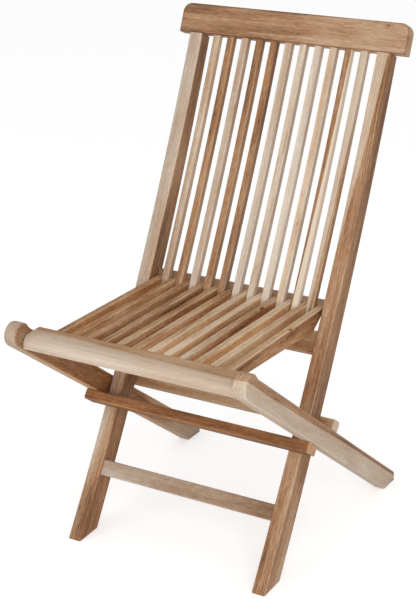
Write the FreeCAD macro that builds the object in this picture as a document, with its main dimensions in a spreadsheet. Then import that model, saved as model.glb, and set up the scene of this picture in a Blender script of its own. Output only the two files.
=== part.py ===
import FreeCAD, Part
import math
import os
import Sketcher

# Folding slatted chair in teak, millimetres, +Z up.
# The sitter faces -Y and the origin is on the floor under the middle of the chair.
# The back frame is one long curved pair of posts with slats. The rear legs cross it
# outside and carry the front rail of the seat between their front ends.

os.makedirs("parts", exist_ok=True)
doc = FreeCAD.newDocument("FoldingChair")
V = FreeCAD.Vector

# Driving dimensions
SIZES = [
    ("post_span", 405.0, "over the outer faces of the two posts"),
    ("post_width", 26.0, "post, side to side"),
    ("foot_forward", 205.9, "front corner of the post foot ahead of the origin"),
    ("lean_at_foot", 34.63, "post lean from vertical at the floor, degrees"),
    ("bow_radius", 5369.3, "curve of the posts' front edge"),
    ("bow_taper", 74.0, "rear edge is curved this much tighter"),
    ("post_length", 963.0, "along the front edge, floor to crest rail"),
    ("foot_depth", 58.0, "post foot along the floor"),
    ("post_top_depth", 33.0, "post depth under the crest rail"),
    ("crest_width", 456.5, "crest rail, side to side"),
    ("crest_height", 54.9, "crest rail"),
    ("crest_depth", 24.0, "crest rail thickness"),
    ("crest_setback", 4.0, "crest rail behind the posts' front edge"),
    ("crest_corner", 17.0, "round of the crest rail's upper corners"),
    ("slat_pitch", 29.8, "back slats and seat slats, centre to centre"),
    ("slat_width", 14.0, "back slat, side to side"),
    ("slat_depth", 15.0, "back slat, front to rear"),
    ("slat_setback", 6.5, "back slats behind the posts' front edge"),
    ("lower_rail_at", 423.0, "lower back rail's bottom edge, along the post"),
    ("lower_rail_height", 42.0, "lower back rail"),
    ("lower_rail_setback", 6.5, "lower back rail behind the posts' front edge"),
    ("lower_rail_depth", 20.0, "lower back rail thickness"),
    ("stretcher_at", 127.0, "front stretcher's bottom edge, along the post"),
    ("stretcher_height", 29.0, "front stretcher"),
    ("stretcher_setback", 5.0, "front stretcher behind the posts' front edge"),
    ("stretcher_depth", 20.0, "front stretcher thickness"),
    ("pivot_along", 288.0, "crossing pivot, along the post from the floor"),
    ("pivot_setback", 19.5, "crossing pivot behind the posts' front edge"),
    ("leg_gap", 3.5, "side gap between post and rear leg"),
    ("leg_thickness", 24.0, "rear leg, side to side"),
    ("leg_width", 40.3, "rear leg, across its length"),
    ("leg_angle", 37.78, "slope of the rear legs, degrees"),
    ("leg_reach", 331.0, "crossing pivot to the centre of the rounded front end"),
    ("leg_round", 22.0, "radius of the rear leg's rounded front end"),
    ("leg_round_rise", 1.7, "centre of that rounded end above the leg's middle line"),
    ("leg_blend", 24.0, "blend from the rounded end into the leg's edges"),
    ("leg_foot", 44.0, "rear leg foot along the floor"),
    ("stop_inset", 2.0, "stop rails' ends inside the legs' outer faces"),
    ("front_stop_length", 35.0, "front stop rail, along the leg"),
    ("front_stop_depth", 19.0, "front stop rail, across the leg"),
    ("rear_stop_length", 26.0, "rear stop rail, along the leg"),
    ("rear_stop_depth", 19.0, "rear stop rail, across the leg"),
    ("stop_gap", 0.5, "stop rails to the posts when open"),
    ("seat_pin_ahead", 11.3, "seat pin behind the centre of the leg's rounded end"),
    ("seat_pin_below", 9.5, "seat pin below that centre"),
    ("rail_gap", 1.0, "front rail's end to the rear leg"),
    ("rail_front", 13.0, "front rail ahead of the seat pin"),
    ("rail_back", 36.0, "front rail behind the seat pin"),
    ("rail_top", 11.0, "front rail above the seat pin"),
    ("rail_under", 13.0, "front rail below the seat pin"),
    ("rail_round", 17.0, "round of the front rail's upper front edge"),
    ("seat_slat_width", 14.0, "seat slat, side to side"),
    ("seat_slat_drop", 1.97, "fall of the seat slats' top to the rear, degrees"),
    ("seat_slat_front_depth", 23.5, "seat slat at the front rail"),
    ("seat_slat_taper", 2.01, "extra fall of the seat slats' lower edge, degrees"),
    ("seat_slat_tip", 9.0, "seat slat's rear end, along the back"),
    ("seat_slat_clip", 40.0, "length of the clipped corner under the rear end"),
    ("slider_gap", 2.5, "rear rail behind the back slats"),
    ("slider_at", 498.0, "rear rail's lower edge, along the post"),
    ("slider_height", 25.0, "rear rail, along the slats"),
    ("slider_depth", 20.0, "rear rail thickness"),
    ("slider_side_gap", 1.5, "rear rail's end to the post"),
    ("seat_end_gap", 0.8, "seat slats' rear ends to the rear rail"),
    ("pin_radius", 4.0, "steel pins"),
    ("pin_clearance", 0.05, "radial clearance of the pins"),
    ("pin_bite", 18.0, "depth of the pins in the wood on each side"),
    ("washer_radius", 12.0, "washer between post and rear leg"),
    ("washer_play", 0.2, "washer to the wood on each side"),
    ("post_bevel", 2.2, "bevelled long edges of the posts"),
    ("leg_ease", 3.5, "eased edges of the rear legs"),
    ("slat_ease", 2.5, "eased edges of the slats"),
    ("rail_ease", 3.0, "eased edges of the rails"),
]
sheet = doc.addObject("Spreadsheet::Sheet", "Sizes")
for row, (alias, value, note) in enumerate(SIZES, start=1):
    sheet.set("A%d" % row, alias)
    sheet.set("B%d" % row, repr(value))
    sheet.set("C%d" % row, note)
    sheet.setAlias("B%d" % row, alias)
doc.recompute()


def size(alias):
    return float(sheet.get(alias))


# Positions that follow from the driving dimensions
derived = doc.addObject("App::VarSet", "Derived")


def derive(name, expression):
    derived.addProperty("App::PropertyFloat", name)
    derived.setExpression(name, expression)


def along(s, depth):
    # A point of the back: s along the posts' front edge from the floor, depth behind it.
    angle = "(-Sizes.lean_at_foot + (%s) / Sizes.bow_radius * 180 / pi)" % s
    reach = "(Sizes.bow_radius + (%s))" % depth
    return ("Derived.bow_y + %s * cos(%s)" % (reach, angle),
            "Derived.bow_z + %s * sin(%s)" % (reach, angle))


derive("bow_y", "-Sizes.foot_forward - Sizes.bow_radius * cos(Sizes.lean_at_foot)")
derive("bow_z", "Sizes.bow_radius * sin(Sizes.lean_at_foot)")
derive("post_outer", "Sizes.post_span / 2")
derive("post_inner", "Sizes.post_span / 2 - Sizes.post_width")
derive("leg_inner", "Sizes.post_span / 2 + Sizes.leg_gap")
derive("stop_width", "2 * (Derived.leg_inner + Sizes.leg_thickness - Sizes.stop_inset)")
pivot = along("Sizes.pivot_along", "Sizes.pivot_setback")
derive("pivot_y", pivot[0])
derive("pivot_z", pivot[1])
derive("pin_y", "Derived.pivot_y - Sizes.leg_reach * cos(Sizes.leg_angle) + Sizes.seat_pin_ahead")
derive("pin_z", "Derived.pivot_z + Sizes.leg_reach * sin(Sizes.leg_angle) - Sizes.seat_pin_below")

# Rear legs: half width, and the sine and cosine of their slope
HALF = "Sizes.leg_width / 2"
SIN, COS = "sin(Sizes.leg_angle)", "cos(Sizes.leg_angle)"


def leg_frame(point):
    # Expressions of a point of the side view in the leg's own directions.
    y, z = "(%s - Derived.pivot_y)" % point[0], "(%s - Derived.pivot_z)" % point[1]
    return ("%s * %s - %s * %s" % (y, COS, z, SIN), "%s * %s + %s * %s" % (y, SIN, z, COS))


# Corners of the leg's foot, in the leg's own directions from the crossing pivot
derive("foot_start", "(Derived.pivot_z - %s * %s) / %s" % (HALF, COS, SIN))
derive("foot_end", "Derived.foot_start + Sizes.leg_foot * " + COS)
derive("foot_end_rise", "-%s + Sizes.leg_foot * %s" % (HALF, SIN))
derive("foot_clip", "(%s - Derived.foot_end_rise) / %s" % (HALF, COS))
# Where the rounded front end meets the leg's upper and lower edge
for name, side in (("round_upper", "- Sizes.leg_round_rise"), ("round_lower", "+ Sizes.leg_round_rise")):
    derive(name, "sqrt(Sizes.leg_round ^ 2 - (%s %s) ^ 2) - Sizes.leg_reach" % (HALF, side))

# Where the stop rails meet the front and rear edges of the posts
front_edge = leg_frame(along("Sizes.pivot_along", "0"))
derive("post_slope", "90 - Sizes.lean_at_foot + Sizes.pivot_along / Sizes.bow_radius * 180 / pi")
derive("post_tilt", "Derived.post_slope + Sizes.leg_angle - 90")
derive("front_face", front_edge[0])
derive("front_face_v", front_edge[1])
derive("rear_depth", "Sizes.post_top_depth + (Sizes.foot_depth * cos(Sizes.lean_at_foot) - "
       "Sizes.post_top_depth) * (1 - Sizes.pivot_along / Sizes.post_length) + 1")
rear_edge = leg_frame(along("Sizes.pivot_along", "Derived.rear_depth"))
derive("rear_face", rear_edge[0])
derive("rear_face_v", rear_edge[1])
derive("front_stop_end", "Derived.front_face - (-{0} - Derived.front_face_v) * tan(Derived.post_tilt)"
       " - Sizes.stop_gap".format(HALF))
derive("rear_stop_start", "Derived.rear_face - ({0} - Derived.rear_face_v) * tan(Derived.post_tilt)"
       " + Sizes.stop_gap".format(HALF))

# Front rail, the rear ends of the seat slats, and the pins
derive("rail_half", "Derived.leg_inner - Sizes.rail_gap")
derive("end_depth", "Sizes.slat_setback + Sizes.slat_depth + Sizes.slider_gap - Sizes.seat_end_gap")
top_end = along("Sizes.slider_at + Sizes.slider_height * 0.56", "Derived.end_depth")
derive("end_y", top_end[0] + " - Derived.pin_y")
low_end = along("Sizes.slider_at + Sizes.slider_height * 0.56 - 40", "Derived.end_depth")
derive("end_slope", "(%s - (%s)) / (%s - (%s))" % (top_end[0], low_end[0], top_end[1], low_end[1]))
FALL = "tan(Sizes.seat_slat_drop)"
FALL_LOW = "tan(Sizes.seat_slat_drop + Sizes.seat_slat_taper)"
derive("slat_top", "Sizes.rail_top - 0.5")
derive("slat_low", "Derived.slat_top - Sizes.seat_slat_front_depth")
derive("slat_top_end", "Derived.slat_top - (Derived.end_y - Sizes.rail_back) * " + FALL)
derive("tip_z", "Derived.slat_top_end - Sizes.seat_slat_tip")
derive("tip_y", "Derived.end_y - Sizes.seat_slat_tip * Derived.end_slope")
derive("clip_y", "Derived.end_y - Sizes.seat_slat_clip")
derive("clip_z", "Derived.slat_low - (Derived.clip_y - Sizes.rail_back) * " + FALL_LOW)
derive("cross_pin_length", "2 * Sizes.pin_bite + Sizes.leg_gap")
derive("seat_pin_length", "2 * Sizes.pin_bite + Sizes.rail_gap")

doc.recompute()


# Building blocks
def value_of(expression):
    result = derived.evalExpression(expression)
    return float(getattr(result, "Value", result))


def origin_plane(body, role):
    return [item for item in body.Origin.OriginFeatures if item.Role == role][0]


def side_sketch(body, name):
    # Sketch in the side view: sketch x is +Y, sketch y is +Z.
    sketch = body.newObject("Sketcher::SketchObject", name)
    sketch.AttachmentSupport = [(origin_plane(body, "YZ_Plane"), "")]
    sketch.MapMode = "FlatFace"
    return sketch


def bind(sketch, kind, geo, pos, expression):
    number = value_of(expression)
    index = sketch.addConstraint(Sketcher.Constraint(kind, -1, 1, geo, pos, number))
    sketch.setExpression("Constraints[%d]" % index, expression)


def arc_between(low, high, radius, side):
    # Arc that runs counter-clockwise from low to high, its centre towards -Y or +Y.
    mid = (low + high) * 0.5
    chord = high - low
    rise = math.sqrt(max(radius ** 2 - (chord.Length / 2) ** 2, 0.0))
    normal = V(-chord.y, chord.x, 0).normalize()
    centre = mid + normal * rise * side
    start = math.atan2(low.y - centre.y, low.x - centre.x)
    end = math.atan2(high.y - centre.y, high.x - centre.x)
    return Part.ArcOfCircle(Part.Circle(centre, V(0, 0, 1), radius), start, end)


def outline(sketch, points, arcs=None):
    # Closed outline: points are (y, z) expressions, arcs is {edge index: radius expression}.
    arcs = arcs or {}
    spots = [V(value_of(y), value_of(z), 0) for y, z in points]
    count = len(points)
    starts = []
    for index in range(count):
        here = spots[index]
        there = spots[(index + 1) % count]
        if index in arcs:
            radius = value_of(arcs[index])
            upward = there.y > here.y
            low, high = (here, there) if upward else (there, here)
            geo = sketch.addGeometry(arc_between(low, high, radius, 1), False)
            starts.append((geo, 1, 2) if upward else (geo, 2, 1))
        else:
            geo = sketch.addGeometry(Part.LineSegment(here, there), False)
            starts.append((geo, 1, 2))
    for index in range(count):
        following = starts[(index + 1) % count]
        sketch.addConstraint(Sketcher.Constraint(
            "Coincident", starts[index][0], starts[index][2], following[0], following[1]))
    for index, (y, z) in enumerate(points):
        geo, pos, _ = starts[index]
        bind(sketch, "DistanceX", geo, pos, y)
        if z == "0":
            sketch.addConstraint(Sketcher.Constraint("PointOnObject", geo, pos, -1))
        else:
            bind(sketch, "DistanceY", geo, pos, z)
    for index, radius in arcs.items():
        number = sketch.addConstraint(
            Sketcher.Constraint("Radius", starts[index][0], value_of(radius)))
        sketch.setExpression("Constraints[%d]" % number, radius)


def pad_outline(label, points, length, arcs=None, reverse=False, midplane=False):
    body = doc.addObject("PartDesign::Body", label)
    body.Label = label
    sketch = side_sketch(body, label + "_outline")
    outline(sketch, points, arcs)
    pad = body.newObject("PartDesign::Pad", label + "_pad")
    pad.Profile = sketch
    pad.setExpression("Length", length)
    pad.Reversed = reverse
    pad.Midplane = midplane
    sketch.Visibility = False
    body.Tip = pad
    doc.recompute()
    return body, pad


def place(body, x="0", y="0", z="0"):
    body.setExpression("Placement.Base.x", x)
    body.setExpression("Placement.Base.y", y)
    body.setExpression("Placement.Base.z", z)


def tilt(body, angle):
    body.Placement = FreeCAD.Placement(V(0, 0, 0), FreeCAD.Rotation(V(1, 0, 0), value_of(angle)))
    body.setExpression("Placement.Rotation.Angle", angle)


def edges_where(feature, test):
    names = []
    for index, edge in enumerate(feature.Shape.Edges, start=1):
        first, last = edge.Vertexes[0].Point, edge.Vertexes[-1].Point
        if test(edge, first, last):
            names.append("Edge%d" % index)
    return names


def runs_across(edge, first, last):
    return abs(first.x - last.x) > 0.9 * edge.Length


def runs_lengthwise(limit):
    # Long edges of a piece that lies in the side view, not its short end edges.
    return lambda edge, first, last: abs(first.x - last.x) < 0.01 and edge.Length > limit


def ease(body, base, names, radius, suffix="ease"):
    fillet = body.newObject("PartDesign::Fillet", "%s_%s" % (body.Label, suffix))
    fillet.Base = (base, names)
    fillet.setExpression("Radius", radius)
    body.Tip = fillet
    doc.recompute()
    return fillet


def bore(body, base, y, z, radius, depth, offset="0", towards_plus=True):
    # Blind round hole from the body's own side plane, moved along X by offset.
    sketch = side_sketch(body, "%s_bore_%d" % (body.Label, len(body.Group)))
    sketch.setExpression("AttachmentOffset.Base.z", offset)
    centre = V(value_of(y), value_of(z), 0)
    geo = sketch.addGeometry(Part.Circle(centre, V(0, 0, 1), value_of(radius)), False)
    if abs(centre.x) < 1e-9 and abs(centre.y) < 1e-9:
        sketch.addConstraint(Sketcher.Constraint("Coincident", geo, 3, -1, 1))
    else:
        bind(sketch, "DistanceX", geo, 3, y)
        bind(sketch, "DistanceY", geo, 3, z)
    number = sketch.addConstraint(Sketcher.Constraint("Radius", geo, value_of(radius)))
    sketch.setExpression("Constraints[%d]" % number, radius)
    pocket = body.newObject("PartDesign::Pocket", "%s_hole_%d" % (body.Label, len(body.Group)))
    pocket.Profile = sketch
    pocket.setExpression("Length", depth)
    pocket.Reversed = towards_plus
    sketch.Visibility = False
    body.Tip = pocket
    doc.recompute()
    if pocket.Shape.Volume > base.Shape.Volume - 1.0:
        raise RuntimeError("hole cuts nothing in " + body.Label)
    return pocket


def sector(s0, s1, depth0, depth1):
    # Four corners of a piece of the back: s0 to s1 along the posts, depth0 to depth1 behind.
    return [along(s0, depth0), along(s0, depth1), along(s1, depth1), along(s1, depth0)]


PARTS = []
HOLE = "Sizes.pin_radius + Sizes.pin_clearance"

# Posts: one curved piece each, front leg and back upright in one, cut flat on the floor
POST = [
    ("-Sizes.foot_forward", "0"),
    ("-Sizes.foot_forward + Sizes.foot_depth", "0"),
    along("Sizes.post_length", "Sizes.post_top_depth"),
    along("Sizes.post_length", "0"),
]
POST_CURVES = {1: "Sizes.bow_radius - Sizes.bow_taper", 3: "Sizes.bow_radius"}
for side, sign in (("left", "-"), ("right", "")):
    right = side == "right"
    body, pad = pad_outline("post_" + side, POST, "Sizes.post_width", POST_CURVES, reverse=right)
    drilled = bore(body, pad, "Derived.pivot_y", "Derived.pivot_z", HOLE,
                   "Sizes.pin_bite + 1", towards_plus=not right)
    bevel = body.newObject("PartDesign::Chamfer", body.Label + "_bevel")
    bevel.Base = (drilled, edges_where(drilled, runs_lengthwise(size("post_length") / 2)))
    bevel.setExpression("Size", "Sizes.post_bevel")
    body.Tip = bevel
    place(body, sign + "Derived.post_outer")
    PARTS.append(body)

# Crest rail: sits on the post tops and runs past them, upper corners rounded
body, pad = pad_outline(
    "crest_rail",
    sector("Sizes.post_length", "Sizes.post_length + Sizes.crest_height",
           "Sizes.crest_setback", "Sizes.crest_setback + Sizes.crest_depth"),
    "Sizes.crest_width", midplane=True)
half = size("crest_width") / 2
top_z = pad.Shape.BoundBox.ZMax
corner_edges = edges_where(pad, lambda edge, a, b: (
    abs(abs(a.x) - half) < 0.01 and abs(abs(b.x) - half) < 0.01 and
    abs(edge.Length - size("crest_depth")) < 0.5 and
    max(a.z, b.z) > top_z - 1.0))
rounded = ease(body, pad, corner_edges, "Sizes.crest_corner", "corners")
face_edges = edges_where(rounded, lambda edge, a, b: not (
    abs(edge.Length - size("crest_depth")) < 0.5))
ease(body, rounded, face_edges, "Sizes.rail_ease")
PARTS.append(body)

# Back slats: eleven, curved with the posts, from the lower back rail to the crest rail
for number in range(1, 12):
    body, pad = pad_outline(
        "back_slat_%02d" % number,
        sector("Sizes.lower_rail_at + Sizes.lower_rail_height", "Sizes.post_length",
               "Sizes.slat_setback", "Sizes.slat_setback + Sizes.slat_depth"),
        "Sizes.slat_width",
        {1: "Sizes.bow_radius + Sizes.slat_setback + Sizes.slat_depth",
         3: "Sizes.bow_radius + Sizes.slat_setback"}, midplane=True)
    ease(body, pad, edges_where(pad, runs_lengthwise(size("slat_depth") * 5)), "Sizes.slat_ease")
    place(body, "%d * Sizes.slat_pitch" % (number - 6))
    PARTS.append(body)

# Lower back rail and front stretcher: between the posts' inner faces
for label, at, name in (
        ("lower_back_rail", "Sizes.lower_rail_at", "lower_rail"),
        ("front_stretcher", "Sizes.stretcher_at", "stretcher")):
    body, pad = pad_outline(
        label,
        sector(at, "%s + Sizes.%s_height" % (at, name), "Sizes.%s_setback" % name,
               "Sizes.%s_setback + Sizes.%s_depth" % (name, name)),
        "2 * Derived.post_inner", midplane=True)
    ease(body, pad, edges_where(pad, runs_across), "Sizes.rail_ease")
    PARTS.append(body)

# Rear legs: straight, outside the posts, rounded front end, foot cut flat on the floor.
# Drawn about the crossing pivot with sketch x along the leg to the rear.
LEG = [
    ("Derived.round_lower", "-" + HALF),
    ("Derived.foot_start", "-" + HALF),
    ("Derived.foot_end", "Derived.foot_end_rise"),
    ("Derived.foot_end - Derived.foot_clip * " + SIN, HALF),
    ("Derived.round_upper", HALF),
]
for side, sign in (("left", "-"), ("right", "")):
    right = side == "right"
    body = doc.addObject("PartDesign::Body", "rear_leg_" + side)
    body.Label = "rear_leg_" + side
    sketch = side_sketch(body, body.Label + "_outline")
    spots = [V(value_of(y), value_of(z), 0) for y, z in LEG]
    lines = [sketch.addGeometry(Part.LineSegment(spots[i], spots[i + 1]), False)
             for i in range(4)]
    middle = V(-size("leg_reach"), size("leg_round_rise"), 0)
    ends = [math.atan2(spot.y - middle.y, spot.x - middle.x) for spot in (spots[4], spots[0])]
    round_end = sketch.addGeometry(Part.ArcOfCircle(
        Part.Circle(middle, V(0, 0, 1), size("leg_round")), ends[0], ends[1]), False)
    for index in range(3):
        sketch.addConstraint(Sketcher.Constraint("Coincident", lines[index], 2, lines[index + 1], 1))
    sketch.addConstraint(Sketcher.Constraint("Coincident", lines[3], 2, round_end, 1))
    sketch.addConstraint(Sketcher.Constraint("Coincident", round_end, 2, lines[0], 1))
    for index, (y, z) in enumerate(LEG[:4]):
        bind(sketch, "DistanceX", lines[index], 1, y)
        bind(sketch, "DistanceY", lines[index], 1, z)
    bind(sketch, "DistanceX", lines[3], 2, LEG[4][0])
    bind(sketch, "DistanceY", lines[3], 2, LEG[4][1])
    bind(sketch, "DistanceX", round_end, 3, "-Sizes.leg_reach")
    pad = body.newObject("PartDesign::Pad", body.Label + "_pad")
    pad.Profile = sketch
    pad.setExpression("Length", "Sizes.leg_thickness")
    pad.Reversed = not right
    body.Tip = pad
    doc.recompute()
    corners = [value_of("Derived.round_upper"), value_of("Derived.round_lower")]
    blended = ease(body, pad, edges_where(pad, lambda edge, a, b: (
        runs_across(edge, a, b) and min(abs(a.y - corner) for corner in corners) < 0.01)),
        "Sizes.leg_blend", "blend")
    drilled = bore(body, blended, "0", "0", HOLE, "Sizes.pin_bite + 1", towards_plus=right)
    # The seat pin, seen from the crossing pivot, in the leg's own directions
    back = "(-Sizes.leg_reach * %s + Sizes.seat_pin_ahead)" % COS
    up = "(Sizes.leg_reach * %s - Sizes.seat_pin_below)" % SIN
    drilled = bore(body, drilled, "%s * %s - %s * %s" % (back, COS, up, SIN),
                   "%s * %s + %s * %s" % (back, SIN, up, COS), HOLE,
                   "Sizes.pin_bite + 1", towards_plus=right)
    ease(body, drilled, edges_where(drilled, lambda edge, a, b: (
        abs(a.x - b.x) < 0.01 and edge.Length > 55.0)), "Sizes.leg_ease")
    tilt(body, "-Sizes.leg_angle")
    place(body, sign + "Derived.leg_inner", "Derived.pivot_y", "Derived.pivot_z")
    PARTS.append(body)


# Stop rails: the front one under the rear legs, the rear one on top of them.
# With the chair open each bears against the posts, one on their front, one on their rear.
STOPS = (
    ("front_stop_rail", "Derived.front_stop_end - Sizes.front_stop_length", "Derived.front_stop_end",
     "-(%s) - Sizes.front_stop_depth" % HALF, "-" + HALF),
    ("rear_stop_rail", "Derived.rear_stop_start", "Derived.rear_stop_start + Sizes.rear_stop_length",
     HALF, HALF + " + Sizes.rear_stop_depth"),
)
for label, u0, u1, v0, v1 in STOPS:
    body, pad = pad_outline(label, [(u0, v0), (u1, v0), (u1, v1), (u0, v1)],
                            "Derived.stop_width", midplane=True)
    ease(body, pad, edges_where(pad, runs_across), "Sizes.rail_ease")
    tilt(body, "-Sizes.leg_angle")
    place(body, "0", "Derived.pivot_y", "Derived.pivot_z")
    PARTS.append(body)

# Seat front rail: between the rounded leg ends, drawn about the seat pin
body, pad = pad_outline(
    "seat_front_rail",
    [("-Sizes.rail_front", "-Sizes.rail_under"), ("Sizes.rail_back", "-Sizes.rail_under"),
     ("Sizes.rail_back", "Sizes.rail_top"), ("-Sizes.rail_front", "Sizes.rail_top")],
    "2 * Derived.rail_half", midplane=True)
drilled = bore(body, pad, "0", "0", HOLE, "Sizes.pin_bite + 1",
               offset="-Derived.rail_half", towards_plus=True)
drilled = bore(body, drilled, "0", "0", HOLE, "Sizes.pin_bite + 1",
               offset="Derived.rail_half", towards_plus=False)
upper_front = edges_where(drilled, lambda edge, a, b: (
    runs_across(edge, a, b) and a.y < 0 and a.z > 0))
rounded = ease(body, drilled, upper_front, "Sizes.rail_round", "round")
others = edges_where(rounded, lambda edge, a, b: (
    runs_across(edge, a, b) and (a.z < -size("rail_under") + 0.5)))
ease(body, rounded, others, "Sizes.rail_ease")
place(body, "0", "Derived.pin_y", "Derived.pin_z")
PARTS.append(body)

# Seat slats: twelve, from the front rail's rear face, passing between the back slats
for number in range(1, 13):
    body, pad = pad_outline(
        "seat_slat_%02d" % number,
        [("Sizes.rail_back", "Derived.slat_low"), ("Derived.clip_y", "Derived.clip_z"),
         ("Derived.tip_y", "Derived.tip_z"), ("Derived.end_y", "Derived.slat_top_end"),
         ("Sizes.rail_back", "Derived.slat_top")],
        "Sizes.seat_slat_width", midplane=True)
    ease(body, pad, edges_where(pad, runs_lengthwise(100.0)), "Sizes.slat_ease")
    place(body, "%.1f * Sizes.slat_pitch" % (number - 6.5), "Derived.pin_y", "Derived.pin_z")
    PARTS.append(body)

# Seat rear rail: behind the back slats, slides up along them as the chair folds
body, pad = pad_outline(
    "seat_rear_rail",
    sector("Sizes.slider_at", "Sizes.slider_at + Sizes.slider_height",
           "Sizes.slat_setback + Sizes.slat_depth + Sizes.slider_gap",
           "Sizes.slat_setback + Sizes.slat_depth + Sizes.slider_gap + Sizes.slider_depth"),
    "2 * (Derived.post_inner - Sizes.slider_side_gap)", midplane=True)
ease(body, pad, edges_where(pad, runs_across), "Sizes.rail_ease")
PARTS.append(body)


# Steel pins and washers
def pin(label, start, length, y, z):
    cylinder = doc.addObject("Part::Cylinder", label)
    cylinder.Label = label
    cylinder.Placement = FreeCAD.Placement(V(0, 0, 0), FreeCAD.Rotation(V(0, 1, 0), 90))
    cylinder.setExpression("Radius", "Sizes.pin_radius")
    cylinder.setExpression("Height", length)
    place(cylinder, start, y, z)
    PARTS.append(cylinder)


for side, left in (("left", True), ("right", False)):
    start = "Derived.post_outer - Sizes.pin_bite"
    pin("cross_pin_" + side, "-(%s) - Derived.cross_pin_length" % start if left else start,
        "Derived.cross_pin_length", "Derived.pivot_y", "Derived.pivot_z")
for side, left in (("left", True), ("right", False)):
    start = "Derived.rail_half - Sizes.pin_bite"
    pin("seat_pin_" + side, "-(%s) - Derived.seat_pin_length" % start if left else start,
        "Derived.seat_pin_length", "Derived.pin_y", "Derived.pin_z")
for side, sign in (("left", "-"), ("right", "")):
    body = doc.addObject("PartDesign::Body", "cross_washer_" + side)
    body.Label = "cross_washer_" + side
    sketch = side_sketch(body, body.Label + "_rings")
    for radius in ("Sizes.washer_radius", HOLE):
        geo = sketch.addGeometry(Part.Circle(V(0, 0, 0), V(0, 0, 1), value_of(radius)), False)
        sketch.addConstraint(Sketcher.Constraint("Coincident", geo, 3, -1, 1))
        number = sketch.addConstraint(Sketcher.Constraint("Radius", geo, value_of(radius)))
        sketch.setExpression("Constraints[%d]" % number, radius)
    pad = body.newObject("PartDesign::Pad", body.Label + "_pad")
    pad.Profile = sketch
    pad.setExpression("Length", "Sizes.leg_gap - 2 * Sizes.washer_play")
    pad.Midplane = True
    body.Tip = pad
    place(body, "%s(Derived.post_outer + Sizes.leg_gap / 2)" % sign,
          "Derived.pivot_y", "Derived.pivot_z")
    PARTS.append(body)

doc.recompute()

# Check and export
for item in doc.Objects:
    if "Invalid" in item.State or "Error" in item.State:
        raise RuntimeError("failed: %s %s" % (item.Label, item.State))
for item in PARTS:
    shape = item.Shape
    if shape.isNull() or not shape.isValid() or len(shape.Solids) != 1:
        raise RuntimeError("bad shape: " + item.Label)
for item in PARTS:
    item.Shape.exportStep("parts/%s.step" % item.Label)
boxes = FreeCAD.BoundBox()
for item in PARTS:
    boxes.add(item.Shape.BoundBox)
print(len(PARTS), "parts, box", boxes)
for name in ("pivot_y", "pivot_z", "pin_y", "pin_z", "bow_y", "bow_z", "end_y", "rear_depth",
             "post_slope", "front_stop_end", "rear_stop_start"):
    print(name, round(value_of("Derived." + name), 4))
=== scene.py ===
import math

import bpy
import bmesh
from mathutils import Matrix, Vector


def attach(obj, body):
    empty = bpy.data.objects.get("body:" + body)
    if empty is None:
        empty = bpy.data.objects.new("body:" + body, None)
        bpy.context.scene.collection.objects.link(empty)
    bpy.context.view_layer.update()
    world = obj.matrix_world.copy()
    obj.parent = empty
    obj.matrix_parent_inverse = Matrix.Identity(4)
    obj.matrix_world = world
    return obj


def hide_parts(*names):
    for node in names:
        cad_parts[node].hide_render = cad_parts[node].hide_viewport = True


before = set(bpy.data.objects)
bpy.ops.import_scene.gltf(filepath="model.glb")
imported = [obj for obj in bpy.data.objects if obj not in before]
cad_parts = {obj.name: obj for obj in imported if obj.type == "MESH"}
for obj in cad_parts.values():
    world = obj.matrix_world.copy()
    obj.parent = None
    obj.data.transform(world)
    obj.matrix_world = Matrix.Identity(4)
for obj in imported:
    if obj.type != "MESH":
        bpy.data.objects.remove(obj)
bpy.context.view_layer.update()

# Posts. Each is one curved length of teak, front leg and back upright in one, bandsawn from
# a plank and sanded, its long edges eased by hand, its foot cut flat on the floor.
POST_LENGTH, POST_SPAN, POST_WIDTH, ROUGH_DEPTH = 0.963, 0.405, 0.026, 0.045
# The front edge is an arc: its radius, the lean at its foot, its centre in the side view
BOW, LEAN = 5.3693, math.radians(34.63)
BOW_Y, BOW_Z = -4.6239691, 3.0512371
# The rear edge is a tighter arc, from the foot's rear corner to the depth of the top end
REAR_BOW, FOOT_REAR, TOP_DEPTH = BOW - 0.074, (-0.1479, 0.0), 0.033
# Sanded edges: how round they are, on all four corners of a section, and the least roundness
EASED, LEAST_ROUND = (0.003,) * 4, 0.0003
# A narrow flat strip beside every round keeps the face next to it flat
STRIP = 0.0005


def on_back(along, depth):
    # Side view of the back: along the posts' front edge from the floor, depth behind it.
    angle = along / BOW - LEAN
    return (BOW_Y + (BOW + depth) * math.cos(angle), BOW_Z + (BOW + depth) * math.sin(angle))


def circle_centre(low, high, radius):
    # Centre, in front of both points, of the circle that passes through them.
    chord = Vector(high) - Vector(low)
    rise = math.sqrt(radius ** 2 - (chord.length / 2) ** 2)
    return (Vector(low) + Vector(high)) / 2 + Vector((-chord.y, chord.x)).normalized() * rise


REAR_Y, REAR_Z = circle_centre(FOOT_REAR, on_back(POST_LENGTH, TOP_DEPTH), REAR_BOW)


def post_depth(along):
    # From the front edge to the tighter curve of the rear edge.
    angle = along / BOW - LEAN
    dy, dz = BOW_Y - REAR_Y, BOW_Z - REAR_Z
    lean_on = dy * math.cos(angle) + dz * math.sin(angle)
    return math.sqrt(lean_on ** 2 - dy ** 2 - dz ** 2 + REAR_BOW ** 2) - lean_on - BOW


def post_point(share, depth):
    # A share of the way up the post: 0 lies on the floor, 1 is cut square across its top.
    foot = (LEAN - math.asin(BOW_Z / (BOW + depth))) * BOW
    along = foot + share * (POST_LENGTH - foot)
    return along, on_back(along, depth)


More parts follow.
